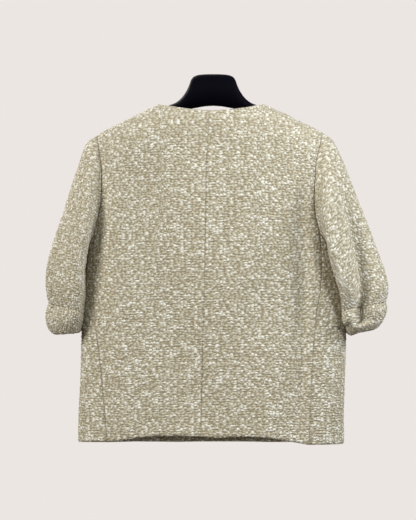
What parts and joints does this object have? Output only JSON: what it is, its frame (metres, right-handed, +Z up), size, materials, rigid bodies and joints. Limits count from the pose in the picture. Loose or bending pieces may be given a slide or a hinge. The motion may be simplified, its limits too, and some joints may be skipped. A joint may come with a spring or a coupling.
{
  "type": "cropped tweed jacket on a hanger",
  "caption": "Collarless cropped jacket in cream boucle tweed with short gathered sleeves and turned-under cuffs, hanging on a moulded black hanger with a wide neck.",
  "frame": {"origin": "middle of the top of the hanger's neck, where the hanger is held", "axes": "+Z up along the hanging jacket, +Y towards the jacket's back, +X towards the wearer's left"},
  "size_m": [0.581, 0.1427, 0.6292],
  "materials": {
    "tweed": "chunky cream boucle tweed, matte",
    "black_moulding": "soft matte black moulding"
  },
  "bodies": {
    "root": {"back_left": "tweed", "back_right": "tweed", "side_left": "tweed", "side_right": "tweed", "front_left": "tweed", "front_right": "tweed", "sleeve_left": "tweed", "sleeve_right": "tweed", "cuff_left": "tweed", "cuff_right": "tweed", "hanger": "black_moulding"}
  },
  "joints": []
}
